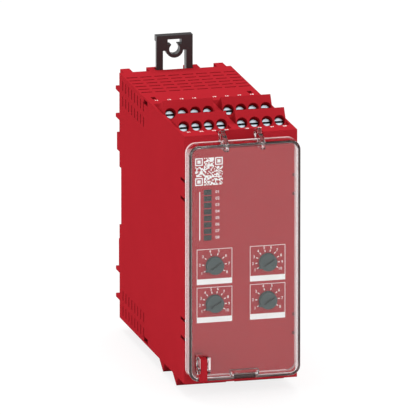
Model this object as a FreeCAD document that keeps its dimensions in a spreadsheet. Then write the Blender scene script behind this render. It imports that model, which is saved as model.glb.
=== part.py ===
"""Safety relay: a 45 mm wide module that clips onto a 35 mm rail in a control cabinet.

The frame has X across the width, +Z up, and the operator's side facing -Y.  The origin is the centre
of the rail seat on the rear plane.  "Forward" means towards -Y, so a sketch on the XZ plane is lifted
and padded forward.  Every driving size is a cell of the sheet "sizes", in millimetres or degrees.
"""
import FreeCAD, Part
import os
import re
import Sketcher

SIZES = {
    # moulded housing
    "housing_width": 45.0,
    "housing_height": 99.0,
    "housing_depth": 102.4,
    "split_depth": 47.0,
    "wall": 2.0,
    "front_wall": 2.0,
    "rear_wall": 4.7,
    # rail seat on the rear plane
    "rail_height": 35.0,
    "rail_brim": 5.8,
    "rail_recess": 2.7,
    "rail_gap": 0.2,
    "rail_sheet": 1.4,
    "hook_overlap": 1.8,
    "hook_thickness": 2.6,
    "hook_inner": 6.0,
    "hook_outer": 16.0,
    "ledge_height": 7.0,
    "ledge_rise": 4.0,
    "foot_height": 10.8,
    "foot_rise": 1.1,
    # tabs along the rear edges
    "tab_reach": 5.8,
    "tab_width": 2.0,
    "tab_root": 3.0,
    "tab_tip": 1.5,
    "tab_upper": 41.5,
    "tab_lower": 30.4,
    "tab_inset": 1.0,
    "ear_inner": 17.0,
    "ear_outer": 20.7,
    "ear_height": 2.2,
    # rail latch and its guide
    "latch_width": 14.6,
    "latch_thickness": 3.4,
    "latch_gap": 0.6,
    "latch_rise": 13.6,
    "latch_window": 9.4,
    "latch_sill": 28.0,
    "latch_band": 7.5,
    "grip_height": 2.4,
    "leg_rebate_width": 1.0,
    "leg_rebate_depth": 1.7,
    "guide_width": 20.4,
    "guide_play": 0.2,
    "guide_cover": 1.6,
    "stop_width": 4.4,
    "stop_height": 2.5,
    "stop_drop": 3.0,
    "eye_ring": 7.0,
    "eye_bore": 4.3,
    "eye_neck": 2.8,
    "eye_drop": 5.6,
    "eye_slot_width": 5.6,
    "eye_slot_height": 2.0,
    "eye_bar": 1.6,
    "spring_width": 7.0,
    "spring_fold": 1.6,
    "spring_depth": 2.4,
    "spring_folds": 9,
    # ventilation slits of the rear shell, and the snaps that join the two shells
    "slit_width": 0.9,
    "slit_pitch": 4.7,
    "side_slit_height": 3.9,
    "side_slit_first": 5.5,
    "side_slit_upper": 4.0,
    "side_slit_lower": 10.1,
    "side_slit_count": 8,
    "top_slit_length": 4.4,
    "top_slit_pitch": 5.6,
    "top_slit_first": 8.8,
    "top_slit_rows": 6,
    "top_slit_columns": 8,
    "snap_depth": 41.8,
    "snap_length": 5.8,
    "snap_height": 1.8,
    "snap_drop": 0.8,
    "snap_top_inset": 3.2,
    "snap_top_width": 1.6,
    "snap_top_length": 3.6,
    "snap_tongue_sheet": 1.2,
    "snap_catch": 1.0,
    "snap_play": 0.15,
    # plug-in terminal blocks
    "block_tilt": 32.0,
    "block_rise": 4.85,
    "rear_tier": 65.1,
    "tier_pitch": 20.9,
    "block_width": 19.8,
    "block_face": 8.5,
    "block_depth": 14.7,
    "block_gap": 0.1,
    "block_seat_gap": 0.3,
    "centre_rib": 3.2,
    "pole_count": 4,
    "pole_pitch": 5.0,
    "screw_drop": 5.2,
    "screw_hole": 4.2,
    "screw_hole_depth": 4.0,
    "screw_diameter": 3.0,
    "screw_recess": 2.3,
    "screw_slot": 0.8,
    "screw_slot_depth": 0.8,
    "screw_length": 7.0,
    "chamber_width": 4.1,
    "chamber_height": 5.0,
    "wire_entry_width": 3.4,
    "wire_entry_length": 3.4,
    "wire_entry_depth": 7.9,
    "cage_play": 0.1,
    "cage_sheet": 0.6,
    "cage_side": 0.35,
    "cage_length": 6.6,
    "fork_reach": 3.7,
    "fork_sheet": 0.4,
    "fork_play": 0.06,
    "header_depth": 3.0,
    "header_drop": 0.8,
    "pin_size": 1.0,
    "pin_reach": 3.6,
    "pin_tail": 3.0,
    "tail_slot_height": 1.8,
    "tail_slot_inset": 1.5,
    "tail_slot_length": 14.0,
    # clear front cover
    "cover_width": 44.4,
    "cover_height": 94.0,
    "cover_depth": 6.9,
    "cover_gap": 0.1,
    "cover_wall": 1.0,
    "cover_corner": 4.0,
    "hinge_setback": 2.4,
    "hinge_drop": 1.1,
    "hinge_peg": 1.6,
    "hinge_play": 0.1,
    "peg_length": 1.5,
    "arm_centre": 7.2,
    "arm_width": 1.8,
    "arm_eye": 3.8,
    "arm_top": 1.45,
    "notch_width": 17.6,
    "notch_length": 5.8,
    "notch_depth": 5.5,
    "gusset_drop": 3.0,
    "pull_width": 9.2,
    "pull_height": 2.5,
    "pull_depth": 2.2,
    "pull_lip": 0.4,
    "seal_lug_centre": 17.0,
    "seal_lug_width": 2.4,
    "seal_lug_top": 37.4,
    "seal_lug_bottom": 46.2,
    "seal_lug_reach": 9.6,
    "seal_hole": 1.5,
    "seal_hole_reach": 8.2,
    "seal_hole_drop": 41.8,
    "seal_slot_play": 0.4,
    "seal_ear_sheet": 1.2,
    "seal_ear_margin": 1.8,
    # selector knobs and status lamps on the front
    "knob_spacing": 21.2,
    "knob_upper": 2.5,
    "knob_pitch": 15.25,
    "knob_diameter": 6.8,
    "knob_rise": 2.0,
    "knob_play": 0.15,
    "knob_foot": 0.3,
    "knob_slot_width": 0.9,
    "knob_slot_length": 5.0,
    "knob_slot_depth": 0.8,
    "knob_tooth": 0.9,
    "knob_tooth_width": 1.6,
    "knob_tooth_lift": 0.4,
    "knob_first": 211.0,
    "shaft_diameter": 3.0,
    "shaft_length": 4.4,
    "shaft_play": 0.05,
    "switch_size": 10.0,
    "switch_height": 5.2,
    "lamp_count": 8,
    "lamp_left": 13.3,
    "lamp_top": 26.8,
    "lamp_pitch": 2.6,
    "lamp_width": 3.2,
    "lamp_height": 2.2,
    "lamp_play": 0.05,
    "lamp_length": 6.2,
    "led_width": 2.0,
    "led_height": 1.2,
    "led_rise": 1.0,
    # circuit boards and what they carry
    "board_sheet": 1.6,
    "board_play": 0.3,
    "side_board_offset": 2.1,
    "side_board_front": 91.0,
    "side_board_height": 69.0,
    "connector_width": 5.0,
    "connector_height": 24.0,
    "relay_height": 24.0,
    "relay_width": 13.0,
    "relay_length": 29.0,
    "relay_first": 18.0,
    "relay_pitch": 17.0,
    "relay_spacing": 33.0,
    "relay_rounding": 1.0,
    "core_length": 30.0,
    "core_width": 26.0,
    "core_height": 12.0,
    "coil_margin": 5.0,
    "coil_height": 20.0,
    "core_depth": 62.0,
    "capacitor_diameter": 10.0,
    "capacitor_height": 16.0,
    "capacitor_pitch": 12.0,
    "capacitor_depth": 84.0,
    "capacitor_count": 3,
    # side tongues beside the front cover
    "tongue_slit": 1.2,
    "tongue_slit_length": 5.9,
    "tongue_upper": 31.6,
    "tongue_lower": 24.1,
}

doc = FreeCAD.newDocument("safety_relay")
sheet = doc.addObject("Spreadsheet::Sheet", "sizes")
for row, (alias, number) in enumerate(SIZES.items(), start=1):
    sheet.set(f"A{row}", str(number))
    sheet.setAlias(f"A{row}", alias)
doc.recompute()

sub_parts = []


# ---------------------------------------------------------------- expressions and sketches

def bound(text):
    """The expression with every driving size written as a cell of the sheet."""
    return re.sub(r"[a-z][a-z_]*", lambda word: f"sizes.{word[0]}" if word[0] in SIZES else word[0], text)


def size(text):
    """The present value of an expression."""
    return float(sheet.evalExpression(bound(text)))


def bind(thing, prop, text):
    thing.setExpression(prop, bound(text))


HALF_WIDTH = "(housing_width / 2)"
HALF_HEIGHT = "(housing_height / 2)"
RAIL_EDGE = "(rail_height / 2)"
SNAP_LEFT = "(housing_width / 2 - snap_top_inset - snap_top_width / 2)"
POCKET_WIDTH = "(block_width + 2 * block_gap)"
SOCKET_CENTRE = "(centre_rib / 2 + block_gap + block_width / 2)"
FIRST_POLE = "(-pole_pitch * (pole_count - 1) / 2)"
SEAT_DEPTH = "(block_depth + block_seat_gap)"
HEADER_BACK = f"({SEAT_DEPTH} + header_depth)"
TIERS = {"rear": "rear_tier", "front": "(rear_tier + tier_pitch)"}
LATCH_TOP = f"({HALF_HEIGHT} + latch_rise)"
HINGE_DEPTH = "(housing_depth - hinge_setback)"
HINGE_HEIGHT = f"({HALF_HEIGHT} - hinge_drop)"
COVER_BACK = "(housing_depth + cover_gap)"
COVER_FRONT = f"({COVER_BACK} + cover_depth)"
FRONT_BOARD = f"(housing_depth - front_wall - knob_foot - cover_gap - switch_height)"
CAVITY_TOP = (f"({HALF_HEIGHT} + block_rise - {HEADER_BACK} * sin(block_tilt)"
              " - (block_face + block_gap) * cos(block_tilt) - wall)")


def new_body(name):
    """An empty body for one sub-part, which may hold a group of separate solids."""
    body = doc.addObject("PartDesign::Body", name)
    body.Label = name
    body.AllowCompound = True
    sub_parts.append(body)
    return body


def origin_feature(body, role):
    return next(feature for feature in body.Origin.OriginFeatures if feature.Role == role)


def new_sketch(body, name, plane, lift="0", shift="0"):
    """A sketch on one of the body's origin planes, lifted along its normal and shifted along its x."""
    sketch = body.newObject("Sketcher::SketchObject", f"{body.Name}_{name}")
    sketch.AttachmentSupport = (origin_feature(body, f"{plane}_Plane"), [""])
    sketch.MapMode = "FlatFace"
    bind(sketch, "AttachmentOffset.Base.z", lift)
    bind(sketch, "AttachmentOffset.Base.x", shift)
    return sketch


def pin_point(sketch, geometry, position, x, y):
    """Tie one point of a sketch to two expressions."""
    for kind, text in (("DistanceX", x), ("DistanceY", y)):
        index = sketch.addConstraint(
            Sketcher.Constraint(kind, -1, 1, geometry, position, size(text)))
        bind(sketch, f"Constraints[{index}]", text)


def polygon(sketch, points):
    """A closed outline of straight edges through points given as expressions."""
    corners = [FreeCAD.Vector(size(x), size(y), 0) for x, y in points]
    edges = []
    for start, end in zip(corners, corners[1:] + corners[:1]):
        edges.append(sketch.addGeometry(Part.LineSegment(start, end), False))
    for edge, following in zip(edges, edges[1:] + edges[:1]):
        sketch.addConstraint(Sketcher.Constraint("Coincident", edge, 2, following, 1))
    for edge, (x, y) in zip(edges, points):
        pin_point(sketch, edge, 1, x, y)
    return sketch


def rectangle(sketch, left, right, bottom, top):
    return polygon(sketch, [(left, bottom), (right, bottom), (right, top), (left, top)])


def circle(sketch, x, y, diameter):
    centre = FreeCAD.Vector(size(x), size(y), 0)
    round_edge = sketch.addGeometry(
        Part.Circle(centre, FreeCAD.Vector(0, 0, 1), size(diameter) / 2), False)
    pin_point(sketch, round_edge, 3, x, y)
    index = sketch.addConstraint(Sketcher.Constraint("Diameter", round_edge, size(diameter)))
    bind(sketch, f"Constraints[{index}]", diameter)
    return sketch


# ---------------------------------------------------------------- features

def pad(body, sketch, length, symmetric=False):
    """Material along the sketch's normal, or to both sides of the sketch."""
    feature = body.newObject("PartDesign::Pad", f"{sketch.Name}_pad")
    feature.Profile = sketch
    bind(feature, "Length", length)
    feature.SideType = "Symmetric" if symmetric else "One side"
    doc.recompute()
    return feature


def pocket(body, sketch, length, symmetric=False):
    """A cut along the sketch's normal, or to both sides of the sketch."""
    before = body.Shape.Volume
    feature = body.newObject("PartDesign::Pocket", f"{sketch.Name}_cut")
    feature.Profile = sketch
    bind(feature, "Length", length)
    feature.SideType = "Symmetric" if symmetric else "One side"
    feature.Reversed = not symmetric
    doc.recompute()
    if body.Shape.Volume >= before:
        raise RuntimeError(f"{feature.Name} removes nothing")
    return feature


def mirrored(body, name, plane):
    step = body.newObject("PartDesign::Mirrored", f"{body.Name}_{name}")
    step.MirrorPlane = (origin_feature(body, f"{plane}_Plane"), [""])
    return step


def spaced(body, name, axis, spacing, count):
    """A row of copies along one of the body's axes; a negative spacing runs the row backwards."""
    step = body.newObject("PartDesign::LinearPattern", f"{body.Name}_{name}")
    step.Direction = (origin_feature(body, f"{axis}_Axis"), [""])
    step.Reversed = size(spacing) < 0
    bind(step, "Length", f"abs({spacing}) * ({count} - 1)")
    bind(step, "Occurrences", count)
    return step


def repeat(body, name, features, steps):
    """Repeat features by one pattern, or by several in turn."""
    if len(steps) == 1:
        pattern = steps[0]
    else:
        pattern = body.newObject("PartDesign::MultiTransform", f"{body.Name}_{name}")
        pattern.Transformations = steps
    pattern.Originals = features
    body.Tip = pattern
    doc.recompute()
    return pattern


def edge_names(feature, wanted):
    """Names of the edges of a feature's solid for which wanted(edge) holds."""
    return [f"Edge{index}" for index, edge in enumerate(feature.Shape.Edges, start=1) if wanted(edge)]


def runs_along(axis):
    """A test for straight edges parallel to an axis."""
    def test(edge):
        start, end = (vertex.Point for vertex in edge.Vertexes) if len(edge.Vertexes) == 2 else (None, None)
        return start is not None and abs((end - start).normalize().dot(axis)) > 0.999
    return test


def fillet(body, base, name, wanted, radius):
    feature = body.newObject("PartDesign::Fillet", f"{body.Name}_{name}")
    feature.Base = (base, edge_names(base, wanted))
    bind(feature, "Radius", radius)
    doc.recompute()
    return feature


X_AXIS = FreeCAD.Vector(1, 0, 0)
Y_AXIS = FreeCAD.Vector(0, 1, 0)
Z_AXIS = FreeCAD.Vector(0, 0, 1)


# ---------------------------------------------------------------- terminal geometry

def in_socket(tier, along, up):
    """A point of the YZ plane, given in a socket's own tilted frame above the upper top face.

    The frame starts at the block's upper front edge.  "along" runs forward and up, the way the block
    pulls out, and "up" runs back and up, along the screw face.
    """
    forward = f"({tier} + ({along}) * cos(block_tilt) - ({up}) * sin(block_tilt))"
    height = (f"({HALF_HEIGHT} + block_rise + ({along}) * sin(block_tilt)"
              f" + ({up}) * cos(block_tilt))")
    return f"(-{forward})", height


def place_in_socket(body, row, tier, side):
    """Put a body modelled in the socket frame at its socket; the lower row is the upper one turned over."""
    sign = {"left": "-", "right": ""}[side]
    flip = {"top": "", "bottom": "-"}[row]
    turn = "rotation(vector(1; 0; 0); 90 - block_tilt)"
    if row == "bottom":
        turn = f"rotation(vector(0; 1; 0); 180) * {turn}"
    place = (f"vector({sign}{SOCKET_CENTRE}; -{TIERS[tier]};"
             f" {flip}({HALF_HEIGHT} + block_rise))")
    bind(body, "Placement", f"placement({place}; {turn})")


def terminal_block(name):
    """A plug-in block with four screw wells, four wire entries and chambers open to the rear."""
    body = new_body(name)
    pad(body, rectangle(new_sketch(body, "outline", "XY", "-block_depth"),
                        "-block_width / 2", "block_width / 2", "-block_face", "0"), "block_depth")
    well = pocket(body, circle(new_sketch(body, "well", "XY", "-screw_hole_depth", FIRST_POLE),
                               "0", "-screw_drop", "screw_hole"), "screw_hole_depth")
    chamber = pocket(body, rectangle(new_sketch(body, "chamber", "XY", "-block_depth", FIRST_POLE),
                                     "-chamber_width / 2", "chamber_width / 2",
                                     "-screw_drop - chamber_height / 2",
                                     "-screw_drop + chamber_height / 2"),
                     "block_depth - screw_hole_depth")
    entry = pocket(body, rectangle(new_sketch(body, "entry", "XZ", "0", FIRST_POLE),
                                   "-wire_entry_width / 2", "wire_entry_width / 2",
                                   "-wire_entry_depth - wire_entry_length / 2",
                                   "-wire_entry_depth + wire_entry_length / 2"),
                   "screw_drop - chamber_height / 2 + cage_play")
    repeat(body, "poles", [well, chamber, entry], [spaced(body, "row", "X", "pole_pitch", "pole_count")])
    return body


def terminal_screws(name):
    """The four slotted clamp screws of one block."""
    body = new_body(name)
    shank = pad(body, circle(new_sketch(body, "shank", "XY", "-screw_recess - screw_length", FIRST_POLE),
                             "0", "-screw_drop", "screw_diameter"), "screw_length")
    slot = pocket(body, rectangle(new_sketch(body, "slot", "XY", "-screw_recess - screw_slot_depth",
                                             FIRST_POLE),
                                  "-screw_diameter", "screw_diameter",
                                  "-screw_drop - screw_slot / 2", "-screw_drop + screw_slot / 2"),
                  "screw_slot_depth")
    repeat(body, "poles", [shank, slot], [spaced(body, "row", "X", "pole_pitch", "pole_count")])
    return body


def clamp_cages(name):
    """The four rising cages of one block, each with the fork that grips a header pin."""
    body = new_body(name)
    half = "(chamber_width / 2 - cage_play)"
    front = "(-screw_hole_depth - cage_play)"
    back = f"({front} - cage_length)"
    ring = new_sketch(body, "ring", "XZ", "screw_drop - chamber_height / 2 + 2 * cage_play", FIRST_POLE)
    rectangle(ring, f"-{half}", half, back, front)
    rectangle(ring, f"-{half} + cage_side", f"{half} - cage_side",
              f"{back} + cage_sheet", f"{front} - cage_sheet")
    cage = pad(body, ring, "chamber_height - 4 * cage_play")
    reach = "(screw_diameter / 2 + cage_play / 2)"
    thread = pocket(body, rectangle(new_sketch(body, "thread", "XY", f"{front} - cage_sheet", FIRST_POLE),
                                    f"-{reach}", reach, f"-screw_drop - {reach}",
                                    f"-screw_drop + {reach}"), "cage_sheet")
    inner = "(pin_size / 2 + fork_play)"
    leaves = new_sketch(body, "fork", "XY", f"{back} - fork_reach", FIRST_POLE)
    for sign in ("", "-"):
        near, far = f"{sign}{inner}", f"{sign}({inner} + fork_sheet)"
        left, right = (far, near) if sign else (near, far)
        rectangle(leaves, left, right, "-screw_drop - pin_size", "-screw_drop + pin_size")
    fork = pad(body, leaves, "fork_reach")
    repeat(body, "poles", [cage, thread, fork], [spaced(body, "row", "X", "pole_pitch", "pole_count")])
    return body


def pin_header(name):
    """The fixed plug base at the bottom of a socket, with four moulded-in pins."""
    body = new_body(name)
    pad(body, rectangle(new_sketch(body, "base", "XY", f"-{HEADER_BACK}"),
                        "-block_width / 2", "block_width / 2", "-block_face", "-header_drop"),
        "header_depth")
    pin = pad(body, rectangle(new_sketch(body, "pin", "XY", f"-{HEADER_BACK} - pin_tail", FIRST_POLE),
                              "-pin_size / 2", "pin_size / 2",
                              "-screw_drop - pin_size / 2", "-screw_drop + pin_size / 2"),
              "pin_tail + header_depth + block_seat_gap + pin_reach")
    repeat(body, "pins", [pin], [spaced(body, "row", "X", "pole_pitch", "pole_count")])
    return body


# ---------------------------------------------------------------- housing

def rear_housing():
    """The rear shell: rail seat, latch guide, tabs, ventilation slits and snap windows."""
    body = new_body("rear_housing")
    ledge_top = f"({RAIL_EDGE} + rail_gap + ledge_height)"
    ledge = f"({RAIL_EDGE} + rail_gap)"
    brim = f"({RAIL_EDGE} - rail_brim)"
    foot = f"(-{RAIL_EDGE} - rail_gap)"
    foot_bottom = f"({foot} - foot_height)"
    pad(body, polygon(new_sketch(body, "profile", "YZ"), [
        ("-split_depth", f"-{HALF_HEIGHT}"), ("-split_depth", HALF_HEIGHT), ("0", HALF_HEIGHT),
        ("0", ledge_top), ("ledge_rise", ledge_top), ("ledge_rise", ledge), ("0", ledge),
        ("0", brim), ("-rail_recess", brim), ("-rail_recess", f"-{brim}"), ("0", f"-{brim}"),
        ("0", foot), ("foot_rise", foot), ("foot_rise", foot_bottom), ("0", foot_bottom),
        ("0", f"-{HALF_HEIGHT}")]), "housing_width", symmetric=True)

    guide = new_sketch(body, "guide", "XZ", "-latch_gap - latch_thickness - guide_play - guide_cover")
    pad(body, rectangle(guide, "-guide_width / 2", "guide_width / 2", ledge, HALF_HEIGHT),
        "latch_gap + latch_thickness + guide_play + guide_cover")
    channel = new_sketch(body, "channel", "XZ", "-latch_gap - latch_thickness - guide_play")
    pocket(body, rectangle(channel, "-latch_width / 2 - guide_play", "latch_width / 2 + guide_play",
                           ledge, HALF_HEIGHT), "latch_thickness + 2 * guide_play")
    stop_top = f"({HALF_HEIGHT} - stop_drop)"
    stop = new_sketch(body, "stop", "XZ", "-latch_gap - latch_thickness - 2 * guide_play")
    pad(body, rectangle(stop, "-stop_width / 2", "stop_width / 2",
                        f"{stop_top} - stop_height", stop_top),
        "latch_gap + latch_thickness + 2 * guide_play")

    lip = new_sketch(body, "guide_lip", "XZ", "-latch_gap - latch_thickness - guide_play - guide_cover")
    pocket(body, rectangle(lip, "-latch_window / 2", "latch_window / 2", stop_top, HALF_HEIGHT),
           "guide_cover")

    hook = pad(body, polygon(new_sketch(body, "hook", "YZ", "hook_inner"), [
        ("0", foot_bottom), ("rail_sheet + hook_thickness", f"{foot_bottom} + hook_thickness"),
        ("rail_sheet + hook_thickness", f"{foot} + hook_overlap + rail_gap"),
        ("rail_sheet", f"{foot} + hook_overlap + rail_gap"), ("rail_sheet", foot), ("0", foot)]),
        "hook_outer - hook_inner")
    tabs = []
    for name, under in (("upper", "tab_upper"), ("lower", "tab_lower"),
                        ("low", "(-tab_lower - tab_inset)"), ("lowest", "(-tab_upper - tab_inset)")):
        outline = polygon(new_sketch(body, f"tab_{name}", "YZ", f"{HALF_WIDTH} - tab_width"), [
            ("-wall / 2", under), ("tab_reach", under), ("tab_reach", f"{under} + tab_tip"),
            ("-wall / 2", f"{under} + tab_root")])
        tabs.append(pad(body, outline, "tab_width"))
    ear = new_sketch(body, "ear", "XZ", "-tab_reach")
    rectangle(ear, "ear_inner", "ear_outer", f"{HALF_HEIGHT} - ear_height", HALF_HEIGHT)
    ears = pad(body, ear, "tab_reach")
    repeat(body, "both_sides", [hook, ears] + tabs, [mirrored(body, "across", "YZ")])

    pocket(body, rectangle(new_sketch(body, "inside", "XZ", "rear_wall"),
                           f"-{HALF_WIDTH} + wall", f"{HALF_WIDTH} - wall",
                           f"-{HALF_HEIGHT} + wall", f"{HALF_HEIGHT} - wall"),
           "split_depth - rear_wall")

    slits = new_sketch(body, "side_slits", "YZ", f"{HALF_WIDTH} - wall")
    for drop in ("side_slit_upper", "side_slit_lower"):
        rectangle(slits, "-side_slit_first - slit_width / 2", "-side_slit_first + slit_width / 2",
                  f"{HALF_HEIGHT} - {drop} - side_slit_height / 2",
                  f"{HALF_HEIGHT} - {drop} + side_slit_height / 2")
    side_slits = pocket(body, slits, "wall")
    repeat(body, "side_vents", [side_slits], [
        spaced(body, "side_vent_row", "Y", "-slit_pitch", "side_slit_count"),
        mirrored(body, "side_vents_across", "YZ"), mirrored(body, "side_vents_below", "XY")])
    slit = new_sketch(body, "top_slit", "XY", f"{HALF_HEIGHT} - wall",
                      "-top_slit_pitch * (top_slit_columns - 1) / 2")
    rectangle(slit, "-top_slit_length / 2", "top_slit_length / 2",
              "-top_slit_first - slit_width / 2", "-top_slit_first + slit_width / 2")
    top_slits = pocket(body, slit, "wall")
    repeat(body, "top_vents", [top_slits], [
        spaced(body, "top_vent_row", "X", "top_slit_pitch", "top_slit_columns"),
        spaced(body, "top_vent_column", "Y", "-slit_pitch", "top_slit_rows"),
        mirrored(body, "top_vents_below", "XY")])

    side_snap = pocket(body, rectangle(
        new_sketch(body, "side_snap", "YZ", f"{HALF_WIDTH} - wall"),
        "-snap_depth - snap_length / 2", "-snap_depth + snap_length / 2",
        f"{HALF_HEIGHT} - snap_drop - snap_height", f"{HALF_HEIGHT} - snap_drop"), "wall")
    top_snap = pocket(body, rectangle(
        new_sketch(body, "top_snap", "XY", f"{HALF_HEIGHT} - wall"),
        SNAP_LEFT, f"{SNAP_LEFT} + snap_top_width",
        "-snap_depth - snap_top_length / 2", "-snap_depth + snap_top_length / 2"), "wall")
    repeat(body, "snap_windows", [side_snap, top_snap], [
        mirrored(body, "snaps_across", "YZ"), mirrored(body, "snaps_below", "XY")])
    return body


def front_housing():
    """The front shell: eight tilted sockets, snap tongues, hinge notch, front openings and seal lug."""
    body = new_body("front_housing")
    pad(body, rectangle(new_sketch(body, "outline", "XZ", "split_depth"),
                        f"-{HALF_WIDTH}", HALF_WIDTH, f"-{HALF_HEIGHT}", HALF_HEIGHT),
        "housing_depth - split_depth")
    pocket(body, rectangle(new_sketch(body, "inside", "XZ", "split_depth"),
                           f"-{HALF_WIDTH} + wall", f"{HALF_WIDTH} - wall",
                           f"-{CAVITY_TOP}", CAVITY_TOP),
           "housing_depth - split_depth - front_wall")

    floor = "(-block_face - block_gap)"
    step = "(-header_drop + block_gap)"
    outline = []
    for tier, entry, exit_reach in (("rear", "block_face", f"tier_pitch * cos(block_tilt) - {SEAT_DEPTH}"),
                                    ("front", None, "block_face")):
        depth = TIERS[tier]
        if entry:
            outline.append(in_socket(depth, f"-{SEAT_DEPTH}", entry))
        outline += [in_socket(depth, f"-{SEAT_DEPTH}", step), in_socket(depth, f"-{HEADER_BACK}", step),
                    in_socket(depth, f"-{HEADER_BACK}", floor), in_socket(depth, exit_reach, floor)]
    socket_pair = pocket(body, polygon(new_sketch(body, "sockets", "YZ", "centre_rib / 2"), outline),
                         POCKET_WIDTH)
    tails = []
    for tier, depth in TIERS.items():
        low = "(-screw_drop - tail_slot_height / 2)"
        high = "(-screw_drop + tail_slot_height / 2)"
        deep = f"-{HEADER_BACK} - tail_slot_length"
        sketch = new_sketch(body, f"tails_{tier}", "YZ", "centre_rib / 2 + tail_slot_inset")
        polygon(sketch, [
            in_socket(depth, f"-{HEADER_BACK}", low), in_socket(depth, f"-{HEADER_BACK}", high),
            in_socket(depth, deep, high), in_socket(depth, deep, low)])
        tails.append(pocket(body, sketch, f"{POCKET_WIDTH} - 2 * tail_slot_inset"))
    repeat(body, "all_sockets", [socket_pair] + tails, [
        mirrored(body, "sockets_across", "YZ"), mirrored(body, "sockets_below", "XY")])

    notch = new_sketch(body, "notch", "XZ", "housing_depth - notch_length")
    pocket(body, rectangle(notch, "-notch_width / 2", "notch_width / 2",
                           f"{HALF_HEIGHT} - notch_depth", HALF_HEIGHT), "notch_length")
    bearing = "(hinge_peg + 2 * hinge_play)"
    pocket(body, circle(new_sketch(body, "bearings", "YZ"), f"-{HINGE_DEPTH}", HINGE_HEIGHT, bearing),
           "notch_width + 2 * peg_length", symmetric=True)

    knobs = new_sketch(body, "knob_holes", "XZ", "housing_depth - front_wall")
    for x in ("-knob_spacing / 2", "knob_spacing / 2"):
        for z in ("-knob_upper", "-knob_upper - knob_pitch"):
            circle(knobs, x, z, "knob_diameter + 2 * knob_play")
    pocket(body, knobs, "front_wall")
    lamp = pocket(body, rectangle(new_sketch(body, "lamp", "XZ", "housing_depth - front_wall"),
                                  "-lamp_left - lamp_width / 2", "-lamp_left + lamp_width / 2",
                                  "lamp_top - lamp_height / 2", "lamp_top + lamp_height / 2"),
                  "front_wall")
    repeat(body, "lamps", [lamp], [spaced(body, "lamp_row", "Z", "-lamp_pitch", "lamp_count")])

    pad(body, rectangle(new_sketch(body, "seal_lug", "XZ", "housing_depth"),
                        "-seal_lug_centre - seal_lug_width / 2", "-seal_lug_centre + seal_lug_width / 2",
                        "-seal_lug_bottom", "-seal_lug_top"), "seal_lug_reach")
    pocket(body, circle(new_sketch(body, "seal_hole", "YZ", "-seal_lug_centre - seal_lug_width"),
                        "-housing_depth - seal_hole_reach", "-seal_hole_drop", "seal_hole"),
           "2 * seal_lug_width")
    tongue_top = f"({HALF_HEIGHT} - wall - snap_play)"
    catch_top = f"({tongue_top} + snap_catch)"
    catch_back = "(-snap_depth + snap_top_length / 2 - snap_play)"
    catch_front = "(-snap_depth - snap_top_length / 2 + snap_play)"
    tip = f"({catch_back} + snap_catch)"
    root = "(-split_depth - wall)"
    snap = pad(body, polygon(new_sketch(body, "snap", "YZ", f"{SNAP_LEFT} + snap_play"), [
        (root, f"{tongue_top} - snap_tongue_sheet"), (tip, f"{tongue_top} - snap_tongue_sheet"),
        (tip, tongue_top), (catch_back, tongue_top), (f"{catch_back} - snap_catch", catch_top),
        (catch_front, catch_top), (catch_front, tongue_top), ("-split_depth", tongue_top),
        ("-split_depth", f"{HALF_HEIGHT} - wall / 2"), (root, f"{HALF_HEIGHT} - wall / 2")]),
        "snap_top_width - 2 * snap_play")
    repeat(body, "snap_tongues", [snap], [
        mirrored(body, "snaps_across", "YZ"), mirrored(body, "snaps_below", "XY")])
    slits = new_sketch(body, "tongue_slits", "YZ", f"{HALF_WIDTH} - wall")
    for level in ("tongue_upper", "tongue_lower", "-tongue_upper", "-tongue_lower"):
        rectangle(slits, "-housing_depth", "-housing_depth + tongue_slit_length",
                  f"{level} - tongue_slit / 2", f"{level} + tongue_slit / 2")
    tongue = pocket(body, slits, "wall")
    repeat(body, "tongues", [tongue], [mirrored(body, "tongues_across", "YZ")])
    return body


# ---------------------------------------------------------------- moving pieces of the housing

def rail_latch():
    """The black slide that grips the upper rail edge, with a screw eye at its top."""
    body = new_body("rail_latch")
    tip = f"({RAIL_EDGE} - hook_overlap)"
    back = "(-latch_gap - latch_thickness)"
    pad(body, rectangle(new_sketch(body, "plate", "XZ", back),
                        "-latch_width / 2", "latch_width / 2", tip, LATCH_TOP), "latch_thickness")
    pocket(body, rectangle(new_sketch(body, "window", "XZ", back),
                           "-latch_window / 2", "latch_window / 2",
                           "latch_sill", f"{HALF_HEIGHT} + latch_band"), "latch_thickness")
    eye_height = f"({LATCH_TOP} - eye_drop)"
    ring = new_sketch(body, "ring", "XZ", back)
    circle(ring, "0", eye_height, "eye_ring")
    pad(body, ring, "latch_thickness")
    pocket(body, circle(new_sketch(body, "eye", "XZ", back), "0", eye_height, "eye_bore"),
           "latch_thickness")
    slot_top = f"({LATCH_TOP} - eye_bar)"
    slot_bottom = f"({slot_top} - eye_slot_height)"
    pocket(body, polygon(new_sketch(body, "key_slot", "XZ", back), [
        ("-eye_neck / 2", eye_height), ("eye_neck / 2", eye_height), ("eye_neck / 2", slot_bottom),
        ("eye_slot_width / 2", slot_bottom), ("eye_slot_width / 2", slot_top),
        ("-eye_slot_width / 2", slot_top), ("-eye_slot_width / 2", slot_bottom),
        ("-eye_neck / 2", slot_bottom)]), "latch_thickness")
    rebate = new_sketch(body, "rebate", "XZ", back)
    rectangle(rebate, "latch_width / 2 - leg_rebate_width", "latch_width / 2",
              tip, f"{LATCH_TOP} - grip_height")
    cut = pocket(body, rebate, "leg_rebate_depth")
    repeat(body, "rebates", [cut], [mirrored(body, "across", "YZ")])
    lead = "hook_thickness / 2"
    pocket(body, polygon(new_sketch(body, "nose", "YZ"), [
        ("0", tip), ("rail_sheet + hook_thickness", tip),
        ("rail_sheet", f"{tip} + {lead}"), ("rail_sheet", f"{RAIL_EDGE} + rail_gap"),
        ("0", f"{RAIL_EDGE} + rail_gap")]), "latch_width", symmetric=True)
    return body


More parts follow.
